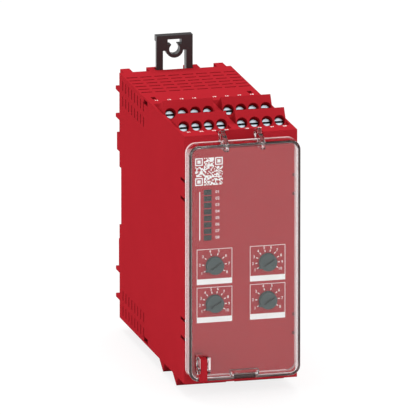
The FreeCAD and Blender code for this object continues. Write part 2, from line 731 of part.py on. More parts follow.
def latch_spring():
    """The folded strip spring between the guide's stop and the sill of the latch window."""
    body = new_body("latch_spring")
    top = f"({HALF_HEIGHT} - stop_drop - stop_height)"
    pitch = f"(({top} - latch_sill) / spring_folds)"
    rising, falling = [], []
    for fold in range(int(size("spring_folds")) + 1):
        level = f"latch_sill + {fold} * {pitch}"
        near = "-spring_width / 2" if fold % 2 else "(spring_width / 2 - spring_fold)"
        rising.append((near, level))
        falling.insert(0, (f"{near} + spring_fold", level))
    strip = new_sketch(body, "strip", "XZ", "-latch_gap - (latch_thickness + spring_depth) / 2")
    pad(body, polygon(strip, rising + falling), "spring_depth")
    return body


def clear_cover():
    """The transparent tray over the front, on two hinge arms, with a finger grip and two seal ears."""
    body = new_body("clear_cover")
    block = pad(body, rectangle(new_sketch(body, "outline", "XZ", COVER_BACK),
                                "-cover_width / 2", "cover_width / 2",
                                "-cover_height / 2", "cover_height / 2"), "cover_depth")
    rounded = fillet(body, block, "corners", runs_along(Y_AXIS), "cover_corner")
    shell = body.newObject("PartDesign::Thickness", "clear_cover_shell")
    rear = next(index for index, face in enumerate(rounded.Shape.Faces, start=1)
                if face.normalAt(0, 0).dot(Y_AXIS) > 0.999)
    shell.Base = (rounded, [f"Face{rear}"])
    bind(shell, "Value", "cover_wall")
    shell.Mode = "Skin"
    shell.Join = "Intersection"
    shell.Reversed = True
    doc.recompute()

    eye_front = f"(-{HINGE_DEPTH} - arm_eye / 2)"
    eye_back = f"(-{HINGE_DEPTH} + arm_eye / 2)"
    gusset_foot = "(cover_height / 2 - gusset_drop)"
    arm = polygon(new_sketch(body, "arm", "YZ", "arm_centre - arm_width / 2"), [
        (eye_back, f"{HINGE_HEIGHT} - arm_eye / 6"),
        (f"-{HINGE_DEPTH} + arm_eye / 6", f"{HINGE_HEIGHT} - arm_eye / 2"),
        (f"-{COVER_BACK}", "cover_height / 2 - cover_wall"),
        (f"-{COVER_BACK} - cover_wall", gusset_foot), (f"-{COVER_FRONT} + cover_wall", gusset_foot),
        (f"-{COVER_FRONT} + cover_wall / 2", "cover_height / 2"),
        (eye_front, f"{HALF_HEIGHT} + arm_top"), (f"-{HINGE_DEPTH}", f"{HINGE_HEIGHT} + arm_eye / 2"),
        (eye_back, f"{HINGE_HEIGHT} + arm_eye / 6")])
    arms = pad(body, arm, "arm_width")
    peg = pad(body, circle(new_sketch(body, "peg", "YZ", "arm_centre"), f"-{HINGE_DEPTH}", HINGE_HEIGHT,
                           "hinge_peg"), "notch_width / 2 - arm_centre + peg_length - hinge_play")
    repeat(body, "hinge_arms", [arms, peg], [mirrored(body, "across", "YZ")])

    pull_floor = f"({COVER_FRONT} - pull_depth)"
    pull_top = "(-cover_height / 2 + pull_height)"
    pad(body, rectangle(new_sketch(body, "pull_walls", "XZ", f"{pull_floor} - cover_wall"),
                        "-pull_width / 2 - cover_wall", "pull_width / 2 + cover_wall",
                        "-cover_height / 2", f"{pull_top} + cover_wall"), "pull_depth + cover_wall")
    pocket(body, rectangle(new_sketch(body, "pull", "XZ", pull_floor), "-pull_width / 2", "pull_width / 2",
                           "-cover_height / 2", pull_top), "pull_depth")
    pad(body, rectangle(new_sketch(body, "pull_lip", "XZ", f"{pull_floor} - cover_wall"),
                        "-pull_width / 2", "pull_width / 2",
                        "-cover_height / 2 - pull_lip", pull_top), "cover_wall")

    slot_left = "(-seal_lug_centre - seal_lug_width / 2 - seal_slot_play)"
    slot_right = "(-seal_lug_centre + seal_lug_width / 2 + seal_slot_play)"
    slot_top = "(-seal_lug_top + seal_slot_play)"
    slot = new_sketch(body, "seal_slot", "XZ", COVER_BACK)
    pocket(body, rectangle(slot, slot_left, slot_right, "-cover_height / 2", slot_top), "cover_depth")
    ears = new_sketch(body, "seal_ears", "XZ", COVER_FRONT)
    ear_foot = "(-seal_hole_drop - seal_ear_margin)"
    rectangle(ears, f"{slot_left} - seal_ear_sheet", slot_left, ear_foot, slot_top)
    rectangle(ears, slot_right, f"{slot_right} + seal_ear_sheet", ear_foot, slot_top)
    pad(body, ears, "seal_lug_reach - cover_depth - cover_gap")
    pocket(body, circle(new_sketch(body, "seal_ear_holes", "YZ", f"{slot_left} - 2 * seal_ear_sheet"),
                        "-housing_depth - seal_hole_reach", "-seal_hole_drop", "seal_hole"),
           f"{slot_right} - {slot_left} + 4 * seal_ear_sheet")
    return body


def on_front(body, column, level):
    """Put a body whose +Z points forward onto the front face."""
    bind(body, "Placement", f"placement(vector({column}; -housing_depth; {level});"
                            " rotation(vector(1; 0; 0); 90))")


def pointing(points):
    """Points given along and across the direction of the first position, as seen from the front."""
    return [(f"(({along}) * cos(knob_first) - ({across}) * sin(knob_first))",
             f"(({along}) * sin(knob_first) + ({across}) * cos(knob_first))") for along, across in points]


def selector_knob(name):
    """A small knob with a pointer tooth and an arrow slot; its shaft reaches into the switch."""
    body = new_body(name)
    foot = "(-front_wall - knob_foot)"
    pad(body, circle(new_sketch(body, "head", "XY", foot), "0", "0", "knob_diameter"),
        "front_wall + knob_foot + knob_rise")
    pad(body, circle(new_sketch(body, "shaft", "XY", f"{foot} - shaft_length"), "0", "0",
                     "shaft_diameter"), "shaft_length")
    tooth_root = "(knob_diameter / 2 - knob_tooth / 2)"
    tooth = polygon(new_sketch(body, "tooth", "XY", "knob_tooth_lift"), pointing([
        ("0", "-knob_tooth_width / 2"), (tooth_root, "-knob_tooth_width / 2"),
        ("knob_diameter / 2 + knob_tooth", "0"),
        (tooth_root, "knob_tooth_width / 2"), ("0", "knob_tooth_width / 2")]))
    pad(body, tooth, "knob_rise - knob_tooth_lift")
    half = "knob_slot_width / 2"
    reach = "knob_slot_length / 2"
    neck = f"({reach} - knob_slot_width)"
    pocket(body, polygon(new_sketch(body, "pointer", "XY", "knob_rise - knob_slot_depth"), pointing([
        (f"-{reach}", f"-{half}"), (neck, f"-{half}"), (neck, "-knob_slot_width"), (reach, "0"),
        (neck, "knob_slot_width"), (neck, half), (f"-{reach}", half)])), "knob_slot_depth")
    return body


def selector_switch(name):
    """The rotary switch on the front board that a knob's shaft turns."""
    body = new_body(name)
    sketch = new_sketch(body, "case", "XY", f"-housing_depth + {FRONT_BOARD}")
    rectangle(sketch, "-switch_size / 2", "switch_size / 2", "-switch_size / 2", "switch_size / 2")
    circle(sketch, "0", "0", "shaft_diameter + 2 * shaft_play")
    pad(body, sketch, "switch_height")
    return body


# ---------------------------------------------------------------- electronics

def status_windows():
    """Eight light guides from the front board to the front face."""
    body = new_body("status_windows")
    guide = pad(body, rectangle(new_sketch(body, "guide", "XZ", "housing_depth - lamp_length"),
                                "-lamp_left - lamp_width / 2 + lamp_play",
                                "-lamp_left + lamp_width / 2 - lamp_play",
                                "lamp_top - lamp_height / 2 + lamp_play",
                                "lamp_top + lamp_height / 2 - lamp_play"), "lamp_length")
    repeat(body, "guides", [guide], [spaced(body, "row", "Z", "-lamp_pitch", "lamp_count")])
    return body


def status_leds():
    """Eight lamps on the front board, one behind each light guide."""
    body = new_body("status_leds")
    lamp = pad(body, rectangle(new_sketch(body, "lamp", "XZ", FRONT_BOARD),
                               "-lamp_left - led_width / 2", "-lamp_left + led_width / 2",
                               "lamp_top - led_height / 2", "lamp_top + led_height / 2"), "led_rise")
    repeat(body, "lamps", [lamp], [spaced(body, "row", "Z", "-lamp_pitch", "lamp_count")])
    return body


def front_board():
    body = new_body("front_board")
    pad(body, rectangle(new_sketch(body, "outline", "XZ", f"{FRONT_BOARD} - board_sheet"),
                        f"-{HALF_WIDTH} + wall + board_play", f"{HALF_WIDTH} - wall - board_play",
                        f"-{CAVITY_TOP} + board_play", f"{CAVITY_TOP} - board_play"), "board_sheet")
    return body


SIDE_BOARD_FACE = f"({HALF_WIDTH} - wall - side_board_offset - board_sheet)"
BOARD_BACK = "(rear_wall + board_play)"


def side_board(name, lift):
    """An upright board along one side wall, from the rear wall to the front board's connector."""
    body = new_body(name)
    pad(body, rectangle(new_sketch(body, "outline", "YZ", lift),
                        "-side_board_front", f"-{BOARD_BACK}",
                        "-side_board_height / 2", "side_board_height / 2"), "board_sheet")
    return body


def board_connector():
    """The plug strip that joins the main board's front edge to the front board."""
    body = new_body("board_connector")
    pad(body, rectangle(new_sketch(body, "strip", "XZ", "side_board_front"),
                        f"-{SIDE_BOARD_FACE} - board_sheet / 2 - connector_width / 2",
                        f"-{SIDE_BOARD_FACE} - board_sheet / 2 + connector_width / 2",
                        "-connector_height / 2", "connector_height / 2"),
        f"{FRONT_BOARD} - board_sheet - side_board_front")
    return body


def safety_relay(name, column, level):
    """A sealed relay with positively guided contacts, standing on the relay board."""
    body = new_body(name)
    case = pad(body, rectangle(new_sketch(body, "case", "YZ", f"{SIDE_BOARD_FACE} - relay_height"),
                               f"-({column}) - relay_width / 2", f"-({column}) + relay_width / 2",
                               f"({level}) - relay_length / 2", f"({level}) + relay_length / 2"),
               "relay_height")
    fillet(body, case, "edges", runs_along(X_AXIS), "relay_rounding")
    return body


def transformer():
    """The mains transformer on the main board: a laminated core through a wound bobbin."""
    body = new_body("transformer")
    core_lift = f"-{SIDE_BOARD_FACE} + (coil_height - core_height) / 2"
    pad(body, rectangle(new_sketch(body, "core", "YZ", core_lift),
                        "-core_depth - core_width / 2", "-core_depth + core_width / 2",
                        "-core_length / 2", "core_length / 2"), "core_height")
    pad(body, rectangle(new_sketch(body, "coil", "YZ", f"-{SIDE_BOARD_FACE}"),
                        "-core_depth - core_width / 2 + coil_margin",
                        "-core_depth + core_width / 2 - coil_margin",
                        "-core_length / 2 + coil_margin", "core_length / 2 - coil_margin"), "coil_height")
    return body


def capacitors():
    """Smoothing capacitors lying side by side on the main board."""
    body = new_body("capacitors")
    can = pad(body, circle(new_sketch(body, "can", "YZ", f"-{SIDE_BOARD_FACE}"), "-capacitor_depth",
                           "-capacitor_pitch * (capacitor_count - 1) / 2", "capacitor_diameter"),
              "capacitor_height")
    repeat(body, "cans", [can], [spaced(body, "row", "Z", "capacitor_pitch", "capacitor_count")])
    return body


# ---------------------------------------------------------------- the whole module

rear_housing()
front_housing()
rail_latch()
latch_spring()
clear_cover()
for row in ("top", "bottom"):
    for tier in TIERS:
        for side in ("left", "right"):
            place = f"{row}_{tier}_{side}"
            for make, kind in ((terminal_block, "terminal_block"), (terminal_screws, "terminal_screws"),
                               (clamp_cages, "clamp_cages"), (pin_header, "pin_header")):
                place_in_socket(make(f"{kind}_{place}"), row, tier, side)
for level_name, level in (("upper", "-knob_upper"), ("lower", "-knob_upper - knob_pitch")):
    for side, column in (("left", "-knob_spacing / 2"), ("right", "knob_spacing / 2")):
        on_front(selector_knob(f"selector_knob_{level_name}_{side}"), column, level)
        on_front(selector_switch(f"selector_switch_{level_name}_{side}"), column, level)
status_windows()
status_leds()
front_board()
side_board("main_board", f"-{SIDE_BOARD_FACE} - board_sheet")
side_board("relay_board", SIDE_BOARD_FACE)
board_connector()
for column_name, column in (("rear", "relay_first"), ("front", "relay_first + relay_pitch")):
    for level_name, level in (("upper", "relay_spacing / 2"), ("lower", "-relay_spacing / 2")):
        safety_relay(f"safety_relay_{level_name}_{column_name}", column, level)
transformer()
capacitors()
doc.recompute()

for thing in doc.Objects:
    if "Invalid" in thing.State or "Error" in thing.State:
        raise RuntimeError(f"{thing.Name} failed: {thing.State}")
os.makedirs("parts", exist_ok=True)
for sub_part in sub_parts:
    if sub_part.Shape.isNull() or not sub_part.Shape.isValid():
        raise RuntimeError(f"{sub_part.Label} has no valid shape")
    sub_part.Shape.exportStep(f"parts/{sub_part.Label}.step")
print(len(sub_parts), "sub-parts written")
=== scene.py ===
"""The looks of a safety relay module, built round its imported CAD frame.

Metres, X across the width, +Z up, the operator's side facing -Y.  Positions come from the CAD nodes'
boxes and from the named sizes below, in millimetres.
"""

import math
import random

import bmesh
import bpy
from mathutils import Matrix, Vector


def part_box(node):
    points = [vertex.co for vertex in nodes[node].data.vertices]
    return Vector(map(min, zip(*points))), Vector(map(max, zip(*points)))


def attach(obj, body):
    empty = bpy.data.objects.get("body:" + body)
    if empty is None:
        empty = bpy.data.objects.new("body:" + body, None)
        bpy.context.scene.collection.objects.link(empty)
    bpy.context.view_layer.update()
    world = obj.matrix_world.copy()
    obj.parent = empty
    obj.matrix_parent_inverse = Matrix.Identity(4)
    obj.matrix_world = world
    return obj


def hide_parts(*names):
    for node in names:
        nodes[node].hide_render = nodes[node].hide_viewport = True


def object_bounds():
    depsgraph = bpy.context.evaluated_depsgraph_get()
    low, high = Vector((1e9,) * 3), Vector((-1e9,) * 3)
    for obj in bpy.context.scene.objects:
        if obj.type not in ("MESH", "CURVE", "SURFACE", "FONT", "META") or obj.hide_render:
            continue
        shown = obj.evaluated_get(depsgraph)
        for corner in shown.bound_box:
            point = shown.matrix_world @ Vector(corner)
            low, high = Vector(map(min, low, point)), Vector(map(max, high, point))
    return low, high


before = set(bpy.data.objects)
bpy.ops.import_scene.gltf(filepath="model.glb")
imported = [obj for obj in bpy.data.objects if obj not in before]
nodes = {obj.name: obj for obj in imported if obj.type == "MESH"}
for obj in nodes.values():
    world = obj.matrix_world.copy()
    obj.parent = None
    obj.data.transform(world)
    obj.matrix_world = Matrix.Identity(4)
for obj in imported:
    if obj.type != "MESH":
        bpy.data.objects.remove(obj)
bpy.context.view_layer.update()
cad_box = [list(corner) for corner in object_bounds()]

MM = 0.001

# ---------------------------------------------------------------- node helpers


def new_material(name):
    """An empty node material and its tree."""
    made = bpy.data.materials.new(name)
    made.use_nodes = True
    made.node_tree.nodes.clear()
    return made, made.node_tree


def add(tree, kind, inputs=None, **settings):
    """A node with its settings; an input takes a value or another node's output."""
    node = tree.nodes.new(kind)
    for key, value in settings.items():
        setattr(node, key, value)
    for key, value in (inputs or {}).items():
        if isinstance(value, bpy.types.NodeSocket):
            tree.links.new(value, node.inputs[key])
        else:
            node.inputs[key].default_value = value
    return node


def linear(red, green, blue):
    """A colour written as 0 to 255 in sRGB, as the linear colour that a shader takes."""
    def channel(value):
        value /= 255
        return value / 12.92 if value <= 0.04045 else ((value + 0.055) / 1.055) ** 2.4
    return (channel(red), channel(green), channel(blue), 1.0)


def noise(tree, size, detail=2.0, seed=0.0):
    """Noise in the object's own space, with features of a given size in millimetres."""
    place = add(tree, "ShaderNodeTexCoord").outputs["Object"]
    shifted = add(tree, "ShaderNodeVectorMath", {0: place, 1: (seed, seed * 0.7, -seed)}).outputs[0]
    return add(tree, "ShaderNodeTexNoise",
               {"Vector": shifted, "Scale": 1 / (size * MM), "Detail": detail}).outputs["Fac"]


def between(tree, factor, low, high):
    """A number that runs from low to high with a factor."""
    return add(tree, "ShaderNodeMapRange", {"Value": factor, "To Min": low, "To Max": high}).outputs[0]


def tinted(tree, factor, colour, drift):
    """A colour that drifts a little darker and lighter with a factor."""
    dark = tuple(value * (1 - drift) for value in colour[:3]) + (1.0,)
    pale = tuple(min(1.0, value * (1 + drift)) for value in colour[:3]) + (1.0,)
    mix = add(tree, "ShaderNodeMix", {"Factor": factor}, data_type="RGBA")
    mix.inputs[6].default_value = dark
    mix.inputs[7].default_value = pale
    return mix.outputs[2]


def with_painted_shade(tree, colour, reach=2.5, darkest=0.45, alone=True):
    """A colour with painted shade: darker in slits, wells and joints, its own or also those between pieces.
    """
    open_share = add(tree, "ShaderNodeAmbientOcclusion", {"Distance": reach * MM}, samples=8,
                     only_local=alone).outputs["AO"]
    shade = between(tree, open_share, darkest, 1.0)
    mix = add(tree, "ShaderNodeMix", {"Factor": 1.0}, data_type="RGBA", blend_type="MULTIPLY")
    tree.links.new(colour, mix.inputs[6])
    tree.links.new(shade, mix.inputs[7])
    return mix.outputs[2]


def finish_material(tree, shader):
    """Links a shader to the material's output."""
    add(tree, "ShaderNodeOutputMaterial", {"Surface": shader})


def moulded(name, colour, roughness=0.42, grain=0.35, depth=0.012, edge=0.25, drift=0.05, specular=0.0,
             reach=2.5, darkest=0.45):
    """Injection-moulded plastic: a fine eroded grain, a slow drift of tone, softened corners and painted
    shade in slits and wells.
    """
    made, tree = new_material(name)
    patch = noise(tree, 14, 3.0)
    fine = noise(tree, grain, 2.0)
    soft = add(tree, "ShaderNodeBevel", {"Radius": edge * MM}, samples=4).outputs[0]
    normal = add(tree, "ShaderNodeBump", {"Strength": 0.5, "Distance": depth * MM, "Height": fine,
                                          "Normal": soft}).outputs[0]
    shader = add(tree, "ShaderNodeBsdfPrincipled", {
        "Base Color": with_painted_shade(tree, tinted(tree, patch, colour, drift), reach, darkest),
        "Roughness": between(tree, fine, roughness - 0.05, roughness + 0.05),
        "Specular IOR Level": specular, "Normal": normal})
    finish_material(tree, shader.outputs[0])
    return made


# painted shade on metal: how far off a neighbour it darkens the colour, in millimetres, and the least share
# of colour left there
METAL_SHADE_REACH = 1.0
METAL_SHADE_DARKEST = 0.16


def metal(name, colour, roughness=0.25, grain=0.25, edge=0.15, drift=0.08):
    """Plated or drawn metal with fine scratches, a slow drift of tone and painted shade near its neighbours.
    """
    made, tree = new_material(name)
    patch = noise(tree, 1.6, 3.0)
    fine = noise(tree, grain, 3.0)
    soft = add(tree, "ShaderNodeBevel", {"Radius": edge * MM}, samples=4).outputs[0]
    normal = add(tree, "ShaderNodeBump", {"Strength": 0.35, "Distance": 0.01 * MM, "Height": fine,
                                          "Normal": soft}).outputs[0]
    shader = add(tree, "ShaderNodeBsdfPrincipled", {
        "Base Color": with_painted_shade(tree, tinted(tree, patch, colour, drift), METAL_SHADE_REACH, METAL_SHADE_DARKEST, False),
        "Metallic": 1.0, "Normal": normal,
        "Roughness": between(tree, fine, roughness - 0.08, roughness + 0.1)})
    finish_material(tree, shader.outputs[0])
    return made


def ink(name, colour):
    """Screen-printed ink: matt, slightly uneven in cover."""
    made, tree = new_material(name)
    shader = add(tree, "ShaderNodeBsdfPrincipled", {
        "Base Color": tinted(tree, noise(tree, 0.5, 2.0), colour, 0.04),
        "Roughness": between(tree, noise(tree, 0.3), 0.5, 0.65), "Specular IOR Level": 0.2})
    finish_material(tree, shader.outputs[0])
    return made


# the share of a lamp's light that clear plastic passes
LIGHT_PASSED = (0.93, 0.93, 0.93, 1.0)


def clear_plastic(name, tint, frost=0.0):
    """Polycarbonate with a tint; frost is its solid share. Lamps and soft light pass straight through."""
    made, tree = new_material(name)
    fine = noise(tree, 9, 2.0)
    glass = add(tree, "ShaderNodeBsdfPrincipled", {
        "Base Color": tint, "Roughness": between(tree, fine, 0.02, 0.05),
        "IOR": 1.5, "Transmission Weight": 1.0 - frost})
    through = add(tree, "ShaderNodeBsdfTransparent", {"Color": LIGHT_PASSED})
    rays = add(tree, "ShaderNodeLightPath").outputs
    open_to = add(tree, "ShaderNodeMath", {0: rays["Is Shadow Ray"], 1: rays["Is Diffuse Ray"]},
                  operation="MAXIMUM")
    mix = add(tree, "ShaderNodeMixShader",
              {0: open_to.outputs[0], 1: glass.outputs[0], 2: through.outputs[0]})
    finish_material(tree, mix.outputs[0])
    return made


def board_green(name):
    """Circuit board: solder mask over faint copper tracks and rows of pads."""
    made, tree = new_material(name)
    place = add(tree, "ShaderNodeTexCoord").outputs["Object"]
    tracks = add(tree, "ShaderNodeTexBrick", {
        "Vector": place, "Scale": 220.0, "Color1": linear(20, 92, 52), "Color2": linear(26, 104, 60),
        "Mortar": linear(34, 122, 70), "Mortar Size": 0.03, "Brick Width": 1.4,
        "Row Height": 0.35}).outputs["Color"]
    shader = add(tree, "ShaderNodeBsdfPrincipled", {
        "Base Color": tracks, "Roughness": between(tree, noise(tree, 0.6), 0.3, 0.4)})
    finish_material(tree, shader.outputs[0])
    return made


def laminated(name):
    """Transformer steel in thin sheets."""
    made, tree = new_material(name)
    place = add(tree, "ShaderNodeTexCoord").outputs["Object"]
    sheets = add(tree, "ShaderNodeTexWave", {"Vector": place, "Scale": 500.0, "Distortion": 0.3},
                 bands_direction="X").outputs["Fac"]
    normal = add(tree, "ShaderNodeBump",
                 {"Strength": 0.5, "Distance": 0.05 * MM, "Height": sheets}).outputs[0]
    shader = add(tree, "ShaderNodeBsdfPrincipled", {
        "Base Color": tinted(tree, sheets, linear(92, 92, 96), 0.25), "Metallic": 0.8,
        "Roughness": between(tree, noise(tree, 0.5), 0.4, 0.55), "Normal": normal})
    finish_material(tree, shader.outputs[0])
    return made


HOUSING_RED = linear(169, 35, 44)
# each moulded and metal look below has painted shade in its slits, wells and joints
LOOKS = {
    "housing_red": moulded("housing_red", HOUSING_RED),
    "terminal_red": moulded("terminal_red", HOUSING_RED, roughness=0.38),
    "clear_cover": clear_plastic("clear_cover", (0.97, 0.98, 0.98, 1.0)),
    "latch_black": moulded("latch_black", linear(46, 43, 44), roughness=0.32, specular=0.4),
    "spring_steel": metal("spring_steel", linear(170, 172, 176)),
    "screw_steel": metal("screw_steel", linear(200, 216, 226), roughness=0.3),
    "contact_brass": metal("contact_brass", linear(196, 160, 92), roughness=0.3),
    "header_black": moulded("header_black", linear(32, 32, 34), roughness=0.45),
    "knob_grey": moulded("knob_grey", linear(66, 78, 77), roughness=0.45, grain=0.25,
                         reach=1.0, darkest=0.2),
    "switch_black": moulded("switch_black", linear(30, 31, 34), roughness=0.4),
    "window_grey": moulded("window_grey", linear(42, 44, 43), roughness=0.3, grain=0.5, depth=0.006),
    "lamp_white": moulded("lamp_white", linear(225, 225, 215), roughness=0.35),
    "board_green": board_green("board_green"),
    "relay_case": moulded("relay_case", linear(206, 204, 196), roughness=0.4),
    "transformer_core": laminated("transformer_core"),
    "can_aluminium": metal("can_aluminium", linear(186, 188, 192), roughness=0.35),
}
PRINT_WHITE = ink("print_white", linear(255, 250, 249))
# painted shade: nearly black clear plastic for the cover's fillets, its rim's back face and the finger
# recess
COVER_EDGE_SHADE_LOOK = clear_plastic("cover_edge_shade", (0.05, 0.037, 0.034, 1.0))
# painted highlight: pale frosted plastic for the rim strip and the right-hand ear's front
COVER_RIM_HIGHLIGHT_LOOK = clear_plastic("cover_rim_highlight", linear(255, 236, 236), 0.85)
# painted shade: a dark metal for the walls and floor of each screw slot
SLOT_SHADE_LOOK = metal("slot_shade", linear(52, 58, 62), roughness=0.5)

for node in nodes.values():
    for place in node.material_slots:
        place.material = LOOKS[place.material.name.split(".")[0]]


# ---------------------------------------------------------------- mesh helpers

def piece_from(name, mesh_maker, body, look):
    """A new piece from a bmesh, riding on a body."""
    mesh = bpy.data.meshes.new(name)
    shape = bmesh.new()
    mesh_maker(shape)
    bmesh.ops.recalc_face_normals(shape, faces=shape.faces)
    shape.to_mesh(mesh)
    shape.free()
    mesh.materials.append(look)
    piece = bpy.data.objects.new(name, mesh)
    bpy.context.scene.collection.objects.link(piece)
    if body:
        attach(piece, body)
    return piece


def block(shape, low, high):
    """A rectangular block between two corners, in metres."""
    low, high = Vector(low), Vector(high)
    made = bmesh.ops.create_cube(shape, size=1.0)["verts"]
    bmesh.ops.scale(shape, verts=made, vec=high - low)
    bmesh.ops.translate(shape, verts=made, vec=(low + high) / 2)
    return made


def prism(shape, outline, axis, start, end):
    """A closed outline of points in the plane across an axis, pushed along it."""
    ends = []
    for at in (start, end):
        ring = []
        for u, v in outline:
            point = {"X": (at, u, v), "Y": (u, at, v), "Z": (u, v, at)}[axis]
            ring.append(shape.verts.new(point))
        ends.append(ring)
    shape.faces.new(ends[0])
    shape.faces.new(ends[1])
    for k in range(len(outline)):
        nxt = (k + 1) % len(outline)
        shape.faces.new((ends[0][k], ends[0][nxt], ends[1][nxt], ends[1][k]))
    return ends[0] + ends[1]


def carve(piece, tool_maker, operation):
    """Join a shape to a piece or cut it away."""
    tool = piece_from("tool", tool_maker, None, piece.data.materials[0])
    step = piece.modifiers.new("carve", "BOOLEAN")
    step.object = tool
    step.operation = operation
    step.solver = "EXACT"
    bpy.context.view_layer.update()
    made = bpy.data.meshes.new_from_object(piece.evaluated_get(bpy.context.evaluated_depsgraph_get()))
    piece.modifiers.remove(step)
    piece.data = made
    bpy.data.objects.remove(tool)


# ---------------------------------------------------------------- the clear cover

FRONT_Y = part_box("status_windows")[0].y
RIM_GAP = 0.1 * MM
COVER_DEPTH = 6.9 * MM
RIM = FRONT_Y - RIM_GAP
COVER_FRONT = RIM - COVER_DEPTH
COVER_HALF_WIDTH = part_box("clear_cover")[1].x
COVER_HALF_HEIGHT = 47.0 * MM
COVER_WALL = 1.0 * MM
COVER_CORNER = 4.0 * MM
COVER_EDGE = 1.0 * MM
CORNER_STEPS = 12
EDGE_STEPS = 6
# the cover's material slots: clear, dark for painted shade on fillets and the rim's back face, frosted for a
# painted highlight on the rim strip
CLEAR_LOOK, EDGE_SHADE_LOOK, RIM_HIGHLIGHT_LOOK = 0, 1, 2
RIM_STRIP = 1.4 * MM
HINGE_SETBACK = 2.4 * MM
HINGE_HEIGHT = 48.4 * MM
HINGE = Vector((FRONT_Y + HINGE_SETBACK, HINGE_HEIGHT))
HINGE_EYE = 1.9 * MM
PEG_RADIUS = 0.8 * MM
PEG_END = 10.2 * MM
ARM_CENTRE = 7.2 * MM
ARM_HALF = 0.9 * MM
ARM_TOP = 50.95 * MM
GUSSET_FOOT = COVER_HALF_HEIGHT - 3.0 * MM
PULL_HALF = 4.6 * MM
PULL_HEIGHT = 2.5 * MM
PULL_DEPTH = 2.2 * MM
PULL_LIP = 0.4 * MM
LUG_CENTRE = -17.0 * MM
SLOT_HALF = 1.6 * MM
SLOT_TOP = -37.0 * MM
EAR_SHEET = 0.9 * MM
EAR_FOOT = -43.6 * MM
EAR_REACH = 2.6 * MM
SEAL_HOLE = Vector((FRONT_Y - 8.2 * MM, -41.8 * MM))
SEAL_RADIUS = 0.75 * MM
ROUND_STEPS = 24
SOFT_WIDTH = 0.12 * MM
SOFT_SEGMENTS = 2
SOFT_ANGLE = math.radians(40)
FLAT_FROM = (4 * MM) ** 2


def rounded_ring(half_width, half_height, radius):
    """Points round a rounded rectangle in the XZ plane."""
    points = []
    for quarter, (sx, sz) in enumerate(((1, 1), (-1, 1), (-1, -1), (1, -1))):
        for step in range(CORNER_STEPS + 1):
            turn = math.pi / 2 * (quarter + step / CORNER_STEPS)
            points.append((sx * (half_width - radius) + radius * math.cos(turn),
                           sz * (half_height - radius) + radius * math.sin(turn)))
    return points


def circle_points(centre, radius):
    """Points of a circle in the YZ plane."""
    turns = [math.tau * step / ROUND_STEPS for step in range(ROUND_STEPS)]
    return [(centre.x + radius * math.cos(turn), centre.y + radius * math.sin(turn)) for turn in turns]


def tray_side(inset, front, edge):
    """Steps of (inset, y) from the rim, along the rim strip and the side, round a soft edge to the front."""
    steps = [(inset, RIM), (inset, RIM - RIM_STRIP)]
    for step in range(EDGE_STEPS + 1):
        turn = math.pi / 2 * step / EDGE_STEPS
        steps.append((inset + edge * (1 - math.cos(turn)), front + edge * (1 - math.sin(turn))))
    return steps


def cover_tray(shape):
    """The open tray, its front wall towards -Y, with a painted highlight on its rim strip and painted shade
    on its edges.
    """
    skins = []
    for steps in (tray_side(0, COVER_FRONT, COVER_EDGE),
                  tray_side(COVER_WALL, COVER_FRONT + COVER_WALL, COVER_EDGE / 2)):
        rings = []
        for inset, y in steps:
            ring = rounded_ring(COVER_HALF_WIDTH - inset, COVER_HALF_HEIGHT - inset, COVER_CORNER - inset)
            rings.append([shape.verts.new((x, y, z)) for x, z in ring])
        for step, (ring, following) in enumerate(zip(rings, rings[1:])):
            for k in range(len(ring)):
                nxt = (k + 1) % len(ring)
                face = shape.faces.new((ring[k], ring[nxt], following[nxt], following[k]))
                if not skins:
                    face.material_index = {0: RIM_HIGHLIGHT_LOOK, 1: CLEAR_LOOK}.get(step, EDGE_SHADE_LOOK)
        shape.faces.new(rings[-1])
        skins.append(rings[0])
    for k in range(len(skins[0])):
        nxt = (k + 1) % len(skins[0])
        face = shape.faces.new((skins[0][k], skins[0][nxt], skins[1][nxt], skins[1][k]))
        face.material_index = EDGE_SHADE_LOOK


def hinge_arms(cover):
    """Two arms with eyes and pegs behind the tray, each with a gusset inside it."""
    arm = [(HINGE.x - HINGE_EYE, ARM_TOP), (HINGE.x, HINGE.y + HINGE_EYE),
           (HINGE.x + HINGE_EYE, HINGE.y + HINGE_EYE / 3), (HINGE.x + HINGE_EYE, HINGE.y - HINGE_EYE / 3),
           (HINGE.x + HINGE_EYE / 3, HINGE.y - HINGE_EYE), (RIM, COVER_HALF_HEIGHT - COVER_WALL),
           (RIM - COVER_WALL, GUSSET_FOOT), (COVER_FRONT + COVER_WALL / 2, GUSSET_FOOT),
           (COVER_FRONT + COVER_WALL / 2, COVER_HALF_HEIGHT)]
    for side in (-1, 1):
        centre = side * ARM_CENTRE
        carve(cover, lambda shape: prism(shape, arm, "X", centre - ARM_HALF, centre + ARM_HALF), "UNION")
        peg = circle_points(HINGE, PEG_RADIUS)
        carve(cover, lambda shape: prism(shape, peg, "X", centre, side * PEG_END), "UNION")


def pull_recess(cover):
    """A recess with a small lip at the lower edge, for a fingertip."""
    floor = COVER_FRONT + PULL_DEPTH
    foot = -COVER_HALF_HEIGHT
    carve(cover, lambda shape: block(
        shape, (-PULL_HALF - COVER_WALL, COVER_FRONT + COVER_WALL / 2, foot + COVER_WALL / 2),
        (PULL_HALF + COVER_WALL, floor + COVER_WALL, foot + PULL_HEIGHT + COVER_WALL)), "UNION")
    carve(cover, lambda shape: block(
        shape, (-PULL_HALF, COVER_FRONT - COVER_WALL, foot - COVER_WALL),
        (PULL_HALF, floor, foot + PULL_HEIGHT)), "DIFFERENCE")
    carve(cover, lambda shape: block(
        shape, (-PULL_HALF, floor, foot - PULL_LIP),
        (PULL_HALF, floor + COVER_WALL, foot + PULL_HEIGHT)), "UNION")


